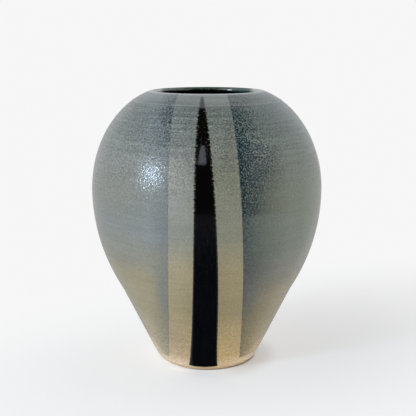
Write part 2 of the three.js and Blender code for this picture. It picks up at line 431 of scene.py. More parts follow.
def base_coat():
    """A closed ring of glaze from the bare foot to just past the crest of the lip. Its face sinks at the foot
    by a falling exponential."""
    over = np.linspace(GLAZE_START, base_end, BASE_ROWS)
    under = np.linspace(base_end, GLAZE_START, BASE_BACK_ROWS)
    turn = np.linspace(0, 2 * math.pi, BASE_COLUMNS, endpoint=False)[None, :]

    def angle(distance):
        """The same even turn of the columns at every distance."""
        return turn + 0 * distance[:, None]

    before_end = np.clip((base_end - over) / (base_end - LIP_DISTANCE), 0, 1)
    foot_edge = FOOT_EDGE_THINNING * np.exp(-(over - GLAZE_START) / FOOT_EDGE_REACH)
    over_depth = (BASE_DEPTH * before_end + foot_edge)[:, None]
    under_depth = np.interp(under, [LIP_DISTANCE, inside_end], [CLAY_DEPTH, LINER_DEPTH]) - BOND_GAP
    points = coat_rows(over, under, angle, over_depth, under_depth)
    faces = coat_faces(BASE_ROWS + BASE_BACK_ROWS, BASE_COLUMNS, True)
    return make_piece("base_coat", points, faces)


tan_coat = base_coat()

# %% [markdown]
# ## Sprayed coat
# The spray went round the whole pot outside the tape and thinned out above the foot. It could be a colour on
# the base coat, but the tape left a step that can be felt. The columns start at one tape edge and end at the
# other, and they crowd together there so that the coat can thin to a soft edge. Two attributes carry the
# distance to the tape's edges, which the glaze's colour needs later.

# %% Sprayed coat
SPRAY_MARGIN = 0.010
SPRAY_ROWS = 440
SPRAY_COLUMNS = 112
EDGE_CROWDING = 0.9
EDGE_THINNING = 0.00026
EDGE_EASE = 0.0015
spray_start = GLAZE_START + SPRAY_MARGIN


def on_both_sides(values):
    """Values of a coat's face, and again for its back, which is walked the other way."""
    return np.concatenate([values, values[::-1]])


def sprayed_coat():
    """A sheet of glaze from the right tape edge round the back to the left one. It is thinner along its edges
    by a falling exponential, and its columns are crowded there by a sine."""
    share = np.linspace(0, 1, SPRAY_COLUMNS)
    share = share - EDGE_CROWDING * np.sin(2 * math.pi * share) / (2 * math.pi)

    def arc_from_right(distance):
        """Radius, start and width of the sheet: the girth less the wedge and both strips of tape."""
        radius = along(distance)[0][:, :1]
        left_edge, right_edge = (edge[:, None] for edge in stripe_edges(distance))
        tape = tape_width(distance)[:, None]
        width = 2 * math.pi * radius - (right_edge - left_edge) - 2 * tape
        return radius, right_edge + tape, width

    def angle(distance):
        """Turn of each column: the start plus its share of the width, over the radius."""
        radius, first, width = arc_from_right(distance)
        return (first + width * share[None, :]) / radius

    over = np.linspace(spray_start, CREST_DISTANCE, SPRAY_ROWS)
    width = arc_from_right(over)[2]
    from_right, from_left = width * share, width * (1 - share)
    rim = np.minimum(over - spray_start, CREST_DISTANCE - over)[:, None]
    edge = np.minimum(np.minimum(from_right, from_left), rim)
    depth = EDGE_THINNING * np.exp(-edge / EDGE_EASE)
    points = coat_rows(over, over[::-1], angle, depth, np.full(SPRAY_ROWS, SPRAY_COAT))
    faces = coat_faces(2 * SPRAY_ROWS, SPRAY_COLUMNS, False)
    edges = {"from_right": on_both_sides(from_right), "from_left": on_both_sides(from_left)}
    return make_piece("sprayed_coat", points, faces, **edges)


spray = sprayed_coat()

# %% [markdown]
# ## Black stripe
# The wedge was brushed with gloss black, which lies on the base coat as a low cushion with rounded edges. A
# flat black colour would lose the light that runs along those edges, so the cushion is real. The glaze crept
# under the tape between the pebbles, so both edges wander, most above the belly. The wedge spreads a little
# where the glaze ran down to the foot, and its lower corners curl up the wall.

# %% Black stripe
STRIPE_MARGIN = 0.0014
STRIPE_ROWS = 1100
STRIPE_COLUMNS = 18
STRIPE_RISE = 0.00045
STRIPE_EDGE_ROUND = 0.0012
STRIPE_MARKS = 0.08
WANDER_LENGTHS = (0.0014, 0.0019, 0.0026, 0.0041, 0.0063)
WANDER_LOW = 0.00011
WANDER_HIGH = 0.00028
WANDER_RISE = 0.02
FOOT_SPREAD = 0.0032
SPREAD_REACH = 0.018
FOOT_CURL = 0.0011
CURL_REACH = 0.004
stripe_start = GLAZE_START + STRIPE_MARGIN
left_phases, right_phases = phases.uniform(0, 2 * math.pi, (2, len(WANDER_LENGTHS)))


def wandering_edges(distance):
    """Middle and half width of the wedge as it was brushed: the masked edges, spread at the foot by a falling
    exponential and moved by sums of sines."""
    left_edge, right_edge = stripe_edges(distance)
    belly = distance_at(BELLY_HEIGHT)
    wander = np.interp(distance, [belly - WANDER_RISE, belly], [WANDER_LOW, WANDER_HIGH])
    spread = FOOT_SPREAD / 2 * np.exp(-(distance - stripe_start) / SPREAD_REACH)
    left_edge = left_edge - spread + wander * sum_of_sines(distance, WANDER_LENGTHS, left_phases)
    right_edge = right_edge + spread + wander * sum_of_sines(distance, WANDER_LENGTHS, right_phases)
    half = np.maximum(right_edge - left_edge, TIP_WIDTH) / 2
    return ((left_edge + right_edge) / 2)[:, None], half[:, None]


def black_wedge():
    """A sheet across the wedge whose height over the base coat rises from each edge as a quarter circle. The
    curl of the lower corners is a parabola across the wedge, and falls up the wall as an exponential."""
    share = 0.5 - 0.5 * np.cos(np.linspace(0, math.pi, STRIPE_COLUMNS))

    def angle(distance):
        """Turn of each column: the middle plus or minus a share of the half width, over the radius."""
        middle, half = wandering_edges(distance)
        return (middle + half * (2 * share[None, :] - 1)) / along(distance)[0][:, :1]

    over = np.linspace(stripe_start, LIP_DISTANCE - TIP_REACH, STRIPE_ROWS)
    half = wandering_edges(over)[1]
    side = np.minimum(half * 2 * share, half * 2 * (1 - share))
    edge = np.minimum(side, np.minimum(over - over[0], over[-1] - over)[:, None])
    inside = 1 - np.clip(edge / STRIPE_EDGE_ROUND, 0, 1)
    depth = SPRAY_COAT - BOND_GAP - STRIPE_RISE * np.sqrt(1 - inside ** 2)
    points = coat_rows(over, over[::-1], angle, depth, np.full(STRIPE_ROWS, SPRAY_COAT), STRIPE_MARKS)
    curl = FOOT_CURL * (2 * share - 1) ** 2 * np.exp(-(over - stripe_start) / CURL_REACH)[:, None]
    points = points + on_both_sides(spin(curl[..., None] * wall_way, angle(over)))
    faces = coat_faces(2 * STRIPE_ROWS, STRIPE_COLUMNS, False)
    return make_piece("black_wedge", points, faces, from_side=on_both_sides(side))


stripe = black_wedge()

# %% [markdown]
# ## Liner
# The inside was filled with a gloss green-black glaze and poured out, so it covers everything from the lip
# to the floor. Only its rim can be seen from the front, but the vase may be looked into, so it is whole. It
# is one turned body: its back against the clay first, then its face from the lip to the floor.

# %% Liner
LINER_COLUMNS = 180
liner_face = np.vstack([lip_profile(liner_start, inside_end, 0, 0), inside_profile(0)[1:]])
liner_back = np.vstack([
    lip_profile(liner_start, inside_end, CLAY_DEPTH - BOND_GAP, LINER_COAT),
    inside_profile(LINER_COAT)[1:],
])
liner = turned_piece("liner_shell", np.vstack([liner_back[::-1], liner_face]), LINER_COLUMNS)

# %% [markdown]
# ## Node helpers
# A material is a small graph. It could be wired by hand in the editor. These helpers add one node, fill its
# sockets from numbers or from other nodes and hand back what it puts out, so that each finish below reads
# from top to bottom. A pair of numbers is a zone: where a smooth step starts and where it ends. LEVELS are
# heights on the pot, a SIDE runs to the right, and a REACH is a distance from an edge.

# %% Node helpers
def put(tree, kind, inputs=(), **settings):
    """Adds a node, sets its options and fills its inputs, given as pairs of socket and value or link."""
    node = tree.nodes.new(kind)
    for name, value in settings.items():
        setattr(node, name, value)
    for socket, value in inputs:
        if isinstance(value, bpy.types.NodeSocket):
            tree.links.new(value, node.inputs[socket])
        else:
            node.inputs[socket].default_value = value
    return node


def calc(tree, operation, first, second=0.0, third=0.0):
    """One operation on up to three numbers."""
    inputs = [(0, first), (1, second), (2, third)]
    return put(tree, "ShaderNodeMath", inputs, operation=operation).outputs[0]


def times(tree, first, second):
    """The product of two numbers."""
    return calc(tree, "MULTIPLY", first, second)


def plus(tree, first, second):
    """The sum of two numbers."""
    return calc(tree, "ADD", first, second)


def minus(tree, first, second):
    """The first number less the second."""
    return calc(tree, "SUBTRACT", first, second)


def larger(tree, first, second):
    """The larger of two numbers."""
    return calc(tree, "MAXIMUM", first, second)


def smaller(tree, first, second):
    """The smaller of two numbers."""
    return calc(tree, "MINIMUM", first, second)


def fade(tree, value, start, end, low=0.0, high=1.0):
    """A smooth step: low before start, high after end."""
    inputs = [("Value", value), ("From Min", start), ("From Max", end), ("To Min", low), ("To Max", high)]
    return put(tree, "ShaderNodeMapRange", inputs, interpolation_type="SMOOTHSTEP").outputs["Result"]


def fall(tree, value, start, end):
    """The smooth step turned round: one before start, nothing after end."""
    return fade(tree, value, start, end, 1.0, 0.0)


def blend(tree, factor, first, second):
    """Two colours mixed by a factor."""
    inputs = [(0, factor), (6, first), (7, second)]
    return put(tree, "ShaderNodeMix", inputs, data_type="RGBA").outputs[2]


def scaled(tree, vector, factor):
    """A colour or place with each of its three values multiplied."""
    return put(tree, "ShaderNodeVectorMath", [(0, vector), (1, factor)], operation="MULTIPLY").outputs[0]


def from_origin(tree, place):
    """Distance of a place from the origin."""
    return put(tree, "ShaderNodeVectorMath", [(0, place)], operation="LENGTH").outputs["Value"]


def noise(tree, where, scale, detail=2.0, roughness=0.5):
    """Soft noise, with its cells given by a scale per metre."""
    inputs = [("Vector", where), ("Scale", scale), ("Detail", detail), ("Roughness", roughness)]
    return put(tree, "ShaderNodeTexNoise", inputs).outputs[0]


def ramp(tree, value, stops):
    """A colour read off a scale of stops, each a place from 0 to 1 and a colour."""
    node = put(tree, "ShaderNodeValToRGB", [(0, value)])
    scale = node.color_ramp.elements
    scale[0].position, scale[0].color = stops[0]
    scale[1].position, scale[1].color = stops[-1]
    for place, colour in stops[1:-1]:
        scale.new(place).color = colour
    return node.outputs[0]


def axes(tree, place):
    """The X, Y and Z of a place, by name."""
    return put(tree, "ShaderNodeSeparateXYZ", [(0, place)]).outputs


def attribute(tree, name):
    """The value that a piece's own attribute has at each point."""
    return put(tree, "ShaderNodeAttribute", attribute_name=name).outputs["Fac"]


def rgb(red, green, blue):
    """A colour written as in a picture, from 0 to 255, turned into the linear values that the shader needs:
    the power law of the standard screen, with its straight start."""
    share = np.array([red, green, blue]) / 255
    linear = np.where(share <= 0.04045, share / 12.92, ((share + 0.055) / 1.055) ** 2.4)
    return (*linear.tolist(), 1.0)


def new_material(name):
    """An empty material with its shader, and the object coordinates that its patterns follow."""
    material = bpy.data.materials.new(name)
    material.use_nodes = True
    tree = material.node_tree
    shader = tree.nodes["Principled BSDF"]
    where = put(tree, "ShaderNodeTexCoord").outputs["Object"]
    return material, tree, shader, where


def count_nodes(finish):
    """Prints how many nodes a finished material or world has."""
    print(finish.name, "has", len(finish.node_tree.nodes), "nodes")


print("middle grey as the shader takes it:", round(rgb(128, 128, 128)[0], 3))

# %% [markdown]
# ## Orange peel
# Both satin coats were sprayed as a mist of droplets, which melted into a pebbled skin. The pebbles are too
# small and too many to model, so they are a bump. One group makes that skin for every glaze: noise of
# droplet size gives the bumps, a slightly finer one gives specks, and a broad one gives the clouds of
# thicker and thinner glaze. Each glaze takes its own share of the three.

# %% Orange peel group
GRAIN_FINENESS = 1.15
CLOUD_FINENESS = 0.055


def new_group(name, inputs, outputs):
    """A shader node group with its own sockets, and the nodes that stand for them inside."""
    tree = bpy.data.node_groups.new(name, "ShaderNodeTree")
    for socket, kind in inputs:
        tree.interface.new_socket(socket, in_out="INPUT", socket_type=kind)
    for socket, kind in outputs:
        tree.interface.new_socket(socket, in_out="OUTPUT", socket_type=kind)
    return tree, tree.nodes.new("NodeGroupInput"), tree.nodes.new("NodeGroupOutput")


def orange_peel_group():
    """Height: noise of droplet size. Grain: noise of speck size. Clouds: a broad noise."""
    number = "NodeSocketFloat"
    inputs = [("Where", "NodeSocketVector"), ("Cells per metre", number)]
    outputs = [("Height", number), ("Grain", number), ("Clouds", number)]
    tree, given, made = new_group("orange_peel", inputs, outputs)
    where, cells = given.outputs[0], given.outputs[1]
    droplets = noise(tree, where, cells, detail=1.0, roughness=0.3)
    grain = noise(tree, where, times(tree, cells, GRAIN_FINENESS), detail=1.0)
    clouds = noise(tree, where, times(tree, cells, CLOUD_FINENESS))
    tree.links.new(droplets, made.inputs["Height"])
    tree.links.new(grain, made.inputs["Grain"])
    tree.links.new(clouds, made.inputs["Clouds"])
    return tree


orange_peel = orange_peel_group()


def place_peel(tree, where, cells):
    """The orange peel group placed in a material: its height, grain and clouds."""
    group = tree.nodes.new("ShaderNodeGroup")
    group.node_tree = orange_peel
    group.inputs["Cells per metre"].default_value = cells
    tree.links.new(where, group.inputs["Where"])
    return group.outputs


def bump(tree, height, depth):
    """A bump whose full height is a depth in metres."""
    return put(tree, "ShaderNodeBump", [("Height", height), ("Distance", depth)]).outputs["Normal"]


def swing(tree, pattern, strength):
    """One, plus a strength times what a pattern is above its middle value of one half."""
    return calc(tree, "MULTIPLY_ADD", minus(tree, pattern, 0.5), strength, 1.0)


def shaded(tree, colour, pattern, strength):
    """A colour made darker and lighter by a pattern round its middle value."""
    return scaled(tree, colour, swing(tree, pattern, strength))


print("group:", orange_peel.name, "with", len(orange_peel.nodes), "nodes")

# %% [markdown]
# ## Satin skin
# The two satin coats differ in colour and share their skin. Glaze pools in the turning marks, so faint rings
# run round the shoulder, and the droplets show as a grain. The grain grows strong on the shoulder, partly as
# painted glints where the pebbles mirror the bright box and the dark room. Both could be painted, but noise
# in the object's own coordinates stays put from any side. Flat noise, squeezed a little in X and Y, gives
# the rings.

# %% Satin skin
PEEL_CELLS = 620.0
PEEL_DEPTH = 0.00032
SATIN_ROUGHNESS = 0.10
ROUGHNESS_DRIFT = 0.04
LOW_GRAIN = 0.6
GRAIN_LEVELS = (0.165, 0.255)
COLLAR_GRAIN = 0.25
COLLAR_GRAIN_LEVELS = (0.276, 0.281)
FOOT_GRAIN = 0.7
FOOT_GRAIN_LEVELS = (0.03, 0.08)
CLOUD_STRENGTH = 0.18
NOISE_MIDDLE = (0.3, 0.7)
STREAK_CELLS = 330.0
STREAK_SQUEEZE = (0.05, 0.05, 1.0)
LOW_STREAKS = 0.25
HIGH_STREAKS = 0.9
STREAK_LEVELS = (0.200, 0.250)


def satin_skin(tree, shader, where, z, colour, high_grain_and_glints):
    """Grain, rings and clouds in a satin glaze's colour, pebbles in its normal and clouds in its roughness.
    The grain and the rings are strong on the shoulder, the grain there partly as painted glints, and the
    grain fades on the collar and comes back at the foot."""
    height, grain, clouds = place_peel(tree, where, PEEL_CELLS)
    # The grain's rise up the pot is partly painted glints of the pebbles.
    flank = fade(tree, z, *GRAIN_LEVELS, LOW_GRAIN, high_grain_and_glints)
    grain_strength = times(tree, flank, fade(tree, z, *COLLAR_GRAIN_LEVELS, 1.0, COLLAR_GRAIN))
    grain_strength = plus(tree, grain_strength, fade(tree, z, *FOOT_GRAIN_LEVELS, FOOT_GRAIN, 0.0))
    streaks = noise(tree, scaled(tree, where, STREAK_SQUEEZE), STREAK_CELLS)
    colour = shaded(tree, colour, grain, grain_strength)
    colour = shaded(tree, colour, streaks, fade(tree, z, *STREAK_LEVELS, LOW_STREAKS, HIGH_STREAKS))
    tree.links.new(shaded(tree, colour, clouds, CLOUD_STRENGTH), shader.inputs["Base Color"])
    tree.links.new(bump(tree, height, PEEL_DEPTH), shader.inputs["Normal"])
    smooth, dull = SATIN_ROUGHNESS - ROUGHNESS_DRIFT, SATIN_ROUGHNESS + ROUGHNESS_DRIFT
    tree.links.new(fade(tree, clouds, *NOISE_MIDDLE, smooth, dull), shader.inputs["Roughness"])


print("pebbles: %.1f mm across" % (1000 / PEEL_CELLS))

# %% [markdown]
# ## Pale edges and painted highlights
# Glaze breaks pale where it thins over an edge, so the collar is paler. The ridge under the lip carries a
# painted highlight where it catches the light, and the lip's crest is partly thin glaze and partly a
# painted highlight. A pointiness mask could find such edges, but it depends on the mesh. The edges lie at
# known heights, so the height alone says where they are.

# %% Pale edges and painted highlights
COLLAR_START = 0.2735
RIDGE_HIGHLIGHT = 0.08
RIDGE_EDGE = 0.0009
LIP_PALE_AND_HIGHLIGHT = 0.6
LIP_LEVELS = (HEIGHT - 0.0018, HEIGHT - 0.0005)
THIN_GLAZE_AND_HIGHLIGHT = rgb(236, 236, 228)


def pale_edges_and_highlights(tree, z, colour, collar_pale):
    """The colour broken pale: a share that grows over the collar to the lip, a painted highlight on the
    ridge, and most on the lip's edge, partly thin glaze and partly painted highlight."""
    collar = fade(tree, z, COLLAR_START, HEIGHT, 0.0, collar_pale)
    rise = fade(tree, z, RIDGE_LEVEL - RIDGE_EDGE, RIDGE_LEVEL)
    # Painted highlight: the ridge under the lip is lightened where it catches the light.
    ridge = times(tree, rise, fade(tree, z, RIDGE_LEVEL, RIDGE_LEVEL + RIDGE_EDGE, RIDGE_HIGHLIGHT, 0.0))
    # The lip's edge: partly thin glaze, partly a painted highlight.
    lip = fade(tree, z, *LIP_LEVELS, 0.0, LIP_PALE_AND_HIGHLIGHT)
    share = larger(tree, plus(tree, collar, ridge), lip)
    return blend(tree, share, colour, THIN_GLAZE_AND_HIGHLIGHT)


print("collar: the top %.1f mm" % (1000 * (HEIGHT - COLLAR_START)))

# %% [markdown]
# ## Colour of the tan base coat
# The coat is grey and thick on the shoulder and thins out to khaki and peach at the foot. A picture of the
# pot could be projected on it, but its light would come along. Instead the height reads a colour off a
# scale, once for the left and once for the right, and both scales carry painted light: the left one a
# painted halo round the window's highlight, the right one painted shade over a warmer tint.

# %% Tan base coat
BAND_GRAIN_AND_GLINTS = 2.3
BAND_COLLAR_PALE = 0.19
SHADED_RIGHT_SIDE = (-0.03, 0.01)
# Left scale: lighter round 0.75 by a painted halo of the window's highlight.
LEFT_STOPS_WITH_HALO = (
    (0.02, rgb(238, 215, 185)), (0.06, rgb(192, 169, 136)), (0.13, rgb(171, 153, 122)),
    (0.26, rgb(157, 147, 116)), (0.43, rgb(155, 147, 122)), (0.55, rgb(134, 138, 131)),
    (0.75, rgb(141, 143, 138)), (0.87, rgb(115, 121, 119)), (0.92, rgb(124, 131, 127)),
)
# Right scale: partly a warm tint, partly painted shade where less light falls.
RIGHT_STOPS_WITH_SHADE = (
    (0.02, rgb(232, 207, 166)), (0.06, rgb(200, 173, 126)), (0.13, rgb(186, 165, 120)),
    (0.26, rgb(150, 140, 109)), (0.43, rgb(149, 140, 111)), (0.55, rgb(128, 130, 115)),
    (0.75, rgb(121, 124, 110)), (0.85, rgb(119, 123, 115)), (0.92, rgb(121, 129, 122)),
)


def tan_glaze():
    """The base coat: grey and thick on the shoulder, khaki on the flank, peach at the foot, and warmer and
    darker to the right, partly a warm tint and partly painted shade, with a painted halo on the left."""
    material, tree, shader, where = new_material("tan_glaze")
    place = axes(tree, where)
    x, z = place["X"], place["Z"]
    share = calc(tree, "DIVIDE", z, HEIGHT)
    cool, warm = ramp(tree, share, LEFT_STOPS_WITH_HALO), ramp(tree, share, RIGHT_STOPS_WITH_SHADE)
    colour = blend(tree, fade(tree, x, *SHADED_RIGHT_SIDE), cool, warm)
    satin_skin(tree, shader, where, z, pale_edges_and_highlights(tree, z, colour, BAND_COLLAR_PALE), BAND_GRAIN_AND_GLINTS)
    return material


tan_finish = tan_glaze()
count_nodes(tan_finish)

# %% [markdown]
# ## Blue-black overspray
# A second, blue-black spray was aimed at the tape, mostly at the right of the panel. Its droplets could be
# scattered as small pieces, but they melted flat into the glaze. So it is a density that falls with the
# distance from the tape, and a grain turns it into specks. The density also steps up at the belly, partly as
# painted reflection: above that level the glaze mirrors the dark room, below it the table. The specks are
# sharp and a little coarser on the shoulder, partly as painted glints of the pebbles, and melt into each
# other below the belly.

# %% Density of the overspray
# Height of a painted reflection step: above it the glaze mirrors the dark room, below it the table.
REFLECTION_STEP_LEVEL = 0.180
REFLECTION_STEP_LEVELS = (REFLECTION_STEP_LEVEL - 0.003, REFLECTION_STEP_LEVEL + 0.003)
FOOT_REACH = 0.018
BELLY_REACH = 0.056
REACH_LEVELS = (0.02, 0.11)
COLLAR_LOSS = 0.026
COLLAR_LOSS_LEVELS = (0.234, 0.264)
LOW_FALLOFF = 1.3
BELLY_FALLOFF = 1.75
SHOULDER_EASING = -0.55
SHOULDER_EASING_LEVELS = (0.198, 0.222)
FOOT_STRENGTH = 0.30
LOW_STRENGTH = 0.62
LOW_STRENGTH_LEVELS = (0.05, 0.14)
HIGH_STRENGTH = 1.05
TOP_STRENGTH = 0.41
TOP_LEVELS = (0.238, 0.255)


def core_density(tree, z, from_right):
    """Density beside the right tape edge: the distance left to the edge of the spray, as a share of its reach
    and raised to a power, times a strength. The strength grows up the pot in a step at the belly, partly a
    painted reflection of the table's edge, and drops on the shoulder, where the reach shrinks too."""
    low_reach = fade(tree, z, *REACH_LEVELS, FOOT_REACH, BELLY_REACH)
    reach = minus(tree, low_reach, fade(tree, z, *COLLAR_LOSS_LEVELS, 0.0, COLLAR_LOSS))
    left_over = minus(tree, 1.0, calc(tree, "DIVIDE", from_right, reach))
    easing = fade(tree, z, *SHOULDER_EASING_LEVELS, 0.0, SHOULDER_EASING)
    falloff = plus(tree, fade(tree, z, *REFLECTION_STEP_LEVELS, LOW_FALLOFF, BELLY_FALLOFF), easing)
    near = calc(tree, "POWER", larger(tree, left_over, 0.0), falloff)
    low = fade(tree, z, *LOW_STRENGTH_LEVELS, FOOT_STRENGTH, LOW_STRENGTH)
    # Painted reflection: the strength steps up above the level where the glaze stops mirroring the table.
    step = fade(tree, z, *REFLECTION_STEP_LEVELS, 0.0, HIGH_STRENGTH - LOW_STRENGTH)
    top = fade(tree, z, *TOP_LEVELS, 0.0, TOP_STRENGTH - HIGH_STRENGTH)
    return times(tree, near, plus(tree, plus(tree, low, step), top))


print("overspray: %.0f mm wide at the belly" % (1000 * BELLY_REACH))

# %% Specks of the overspray
SPECK_CELLS = 760.0
SHOULDER_CELLS = 660.0
SHOULDER_CELL_LEVELS = (0.234, 0.244)
LOW_SPECKS = 1.8
HIGH_SPECKS_AND_GLINTS = 9.4
SPECK_LEVELS = (0.155, 0.275)
LOW_THIN_SPECKS = 0.55
HIGH_THIN_SPECKS = 1.5
THIN_SPECK_LEVELS = (0.210, 0.255)
DENSE_SPECKS = 1.35
DENSE_SPRAY = (0.6, 1.05)
VEIL = 0.17
VEIL_REACH = 0.16
LEFT_SPRAY_REACH = 0.024
LOW_LEFT_SPRAY = 0.20
HIGH_LEFT_SPRAY = 0.39
LEFT_SPRAY_LEVELS = (0.240, 0.262)
MOST_COVER = 0.97
BLUE_BLACK = rgb(6, 36, 44)


def overspray(tree, where, z, from_right, from_left):
    """Share of blue-black: the core and a wide thin veil on the right, or a narrow band on the left. The
    grain breaks it into specks, with a contrast that grows up the pot, partly as painted glints of the
    pebbles, and changes with the density."""
    veil = fade(tree, from_right, 0.0, VEIL_REACH, VEIL, 0.0)
    right = plus(tree, core_density(tree, z, from_right), veil)
    left_strength = fade(tree, z, *LEFT_SPRAY_LEVELS, LOW_LEFT_SPRAY, HIGH_LEFT_SPRAY)
    left = times(tree, fall(tree, from_left, 0.0, LEFT_SPRAY_REACH), left_strength)
    density = larger(tree, right, left)
    thin_specks = fade(tree, z, *THIN_SPECK_LEVELS, LOW_THIN_SPECKS, HIGH_THIN_SPECKS)
    # Contrast grows up the pot partly as painted glints, where the pebbles mirror light and dark.
    contrast = times(
        tree,
        fade(tree, z, *SPECK_LEVELS, LOW_SPECKS, HIGH_SPECKS_AND_GLINTS),
        fade(tree, density, *DENSE_SPRAY, thin_specks, DENSE_SPECKS),
    )
    fine = noise(tree, where, SPECK_CELLS, detail=1.0)
    coarse = noise(tree, where, SHOULDER_CELLS, detail=1.0)
    grain = fade(tree, z, *SHOULDER_CELL_LEVELS, fine, coarse)
    speck = larger(tree, swing(tree, grain, contrast), 0.0)
    return smaller(tree, times(tree, density, speck), MOST_COVER)


print("specks: %.1f mm across, %.1f mm on the shoulder" % (1000 / SPECK_CELLS, 1000 / SHOULDER_CELLS))

# %% [markdown]
# ## Colour of the sprayed coat
# The coat is slate on the shoulder, blue-grey on the belly and tan where it thins in the lower third. It
# could take one scale of colours by height, as the base coat does. But the spray lies thickest beside the
# tape and on the right, so its blue-grey reaches lower there: the scale is read a little higher up than the
# true height. Tints then follow the distance from the tape, and the thin lower edge turns peach.

# %% Reach of the blue-grey
RUN_START = 0.135
LONGEST_RUN = 0.055
RIGHT_RUN_REACH = 0.045
LEFT_RUN_REACH = 0.03
SIDE_RUN = 0.020
SIDE_RUN_REACH = (0.10, 0.25)
SIDE_RUN_LEVELS = (0.13, 0.18)
FOOT_RUN = 0.2
FOOT_RUN_LEVELS = (0.02, 0.06)


def spray_reach(tree, z, from_right, from_left):
    """How far the blue-grey reaches below its usual height: beside the tape down from the level where it
    would end, and a little on the right. It is little at the foot and nothing above the belly."""
    right, left = fall(tree, from_right, 0.0, RIGHT_RUN_REACH), fall(tree, from_left, 0.0, LEFT_RUN_REACH)
    below = larger(tree, minus(tree, RUN_START, z), 0.0)
    run = times(tree, larger(tree, right, left), smaller(tree, below, LONGEST_RUN))
    side = fade(tree, from_right, *SIDE_RUN_REACH, SIDE_RUN, 0.0)
    side = times(tree, side, fall(tree, z, *SIDE_RUN_LEVELS))
    return times(tree, larger(tree, run, side), fade(tree, z, *FOOT_RUN_LEVELS, FOOT_RUN, 1.0))


print("blue-grey: up to %.0f mm lower beside the tape" % (1000 * LONGEST_RUN))

# %% Tints of the sprayed coat
WHITE = (1, 1, 1, 1)
BROWN_TINT = (1.0, 0.94, 0.73, 1)
BROWN_SIDE = (0.0, 0.04)
BROWN_LEVELS = (0.05, 0.11)
BLUE_TINT_AND_SHEEN = (0.97, 1.02, 1.12, 1)
BLUE_SHEEN_REACH = (0.01, 0.05)
BLUE_SHEEN_LEVELS = (0.13, 0.16)
BLUE_EDGE = 0.014
GREEN_TINT = (0.94, 1.02, 0.92, 1)
GREEN_REACH = (0.09, 0.14)
GREEN_LEVELS = (0.12, 0.15)
DEEP_TINT = (0.46, 0.60, 0.68, 1)
DEEP_REACH = 0.030
DEEP_LEVELS = (0.178, 0.212)
DEEP_TOP = 0.3
DEEP_TOP_LEVELS = (0.240, 0.258)
DUSK_TINT = (0.72, 0.70, 0.56, 1)
DUSK_SHARE = 0.5
DUSK_REACH = (0.035, 0.065)
DUSK_END_LEVELS = (0.215, 0.245)


def spray_tint(tree, x, z, from_right, from_left):
    """Tint of the sprayed coat: brown at the lower right, blue beside the left tape, partly a painted bluish
    sheen from the window, green to the right, deep blue beside the right tape above the belly, and a brown
    dusk there that reaches further."""
    brown = times(tree, fade(tree, x, *BROWN_SIDE), fall(tree, z, *BROWN_LEVELS))
    tint = blend(tree, brown, WHITE, BROWN_TINT)
    # Blue beside the left tape: partly a painted sheen of the bluish window, partly overspray at its edge.
    blue = times(tree, fall(tree, from_left, *BLUE_SHEEN_REACH), fade(tree, z, *BLUE_SHEEN_LEVELS))
    blue = larger(tree, blue, fall(tree, from_left, 0.0, BLUE_EDGE))
    tint = blend(tree, blue, tint, BLUE_TINT_AND_SHEEN)
    green = times(tree, fall(tree, from_right, *GREEN_REACH), fade(tree, z, *GREEN_LEVELS))
    tint = blend(tree, green, tint, GREEN_TINT)
    level = times(tree, fade(tree, z, *DEEP_LEVELS), fade(tree, z, *DEEP_TOP_LEVELS, 1.0, DEEP_TOP))
    deep = times(tree, fall(tree, from_right, 0.0, DEEP_REACH), level)
    tint = blend(tree, deep, tint, DEEP_TINT)
    level = times(tree, fade(tree, z, *REFLECTION_STEP_LEVELS), fall(tree, z, *DUSK_END_LEVELS))
    dusk = times(tree, fall(tree, from_right, *DUSK_REACH), level)
    return blend(tree, times(tree, dusk, DUSK_SHARE), tint, DUSK_TINT)


print("deep blue: within %.0f mm of the right tape" % (1000 * DEEP_REACH))

# %% Satin sprayed coat
COAT_GRAIN_AND_GLINTS = 2.5
RIGHT_GRAIN = 1.3
RIGHT_GRAIN_SIDE = (0.03, 0.08)
COAT_COLLAR_PALE = 0.14
EDGE_LEVELS = (0.002, 0.023)
EDGE_REACH = 0.034
EDGE_WIDTH = (-0.001, 0.013)
LEFT_PEACH = rgb(226, 200, 163)
RIGHT_PEACH = rgb(213, 182, 134)
PEACH_SIDE = (-0.02, 0.02)
COAT_STOPS = (
    (0.04, rgb(212, 190, 155)), (0.10, rgb(178, 164, 134)), (0.25, rgb(159, 150, 123)),
    (0.39, rgb(151, 143, 118)), (0.45, rgb(136, 136, 124)), (0.56, rgb(129, 133, 129)),
    (0.68, rgb(129, 132, 124)), (0.80, rgb(124, 128, 123)), (0.93, rgb(114, 122, 119)),
)


def sprayed_glaze():
    """The sprayed coat: a scale of colours by height, read higher where the spray is thick, times the tints,
    peach along its thin lower edge, and the blue-black specks over it."""
    material, tree, shader, where = new_material("sprayed_glaze")
    place = axes(tree, where)
    x, z = place["X"], place["Z"]
    from_right, from_left = attribute(tree, "from_right"), attribute(tree, "from_left")
    read_at = plus(tree, z, spray_reach(tree, z, from_right, from_left))
    colour = ramp(tree, calc(tree, "DIVIDE", read_at, HEIGHT), COAT_STOPS)
    colour = scaled(tree, colour, spray_tint(tree, x, z, from_right, from_left))
    edge_level = fade(tree, smaller(tree, from_right, from_left), 0.0, EDGE_REACH, *EDGE_LEVELS)
    thin = fall(tree, minus(tree, z, edge_level), *EDGE_WIDTH)
    peach = blend(tree, fade(tree, x, *PEACH_SIDE), LEFT_PEACH, RIGHT_PEACH)
    colour = blend(tree, thin, colour, peach)
    colour = blend(tree, overspray(tree, where, z, from_right, from_left), colour, BLUE_BLACK)
    grain = fade(tree, x, *RIGHT_GRAIN_SIDE, COAT_GRAIN_AND_GLINTS, RIGHT_GRAIN)
    satin_skin(tree, shader, where, z, pale_edges_and_highlights(tree, z, colour, COAT_COLLAR_PALE), grain)
    return material


spray_finish = sprayed_glaze()
count_nodes(spray_finish)

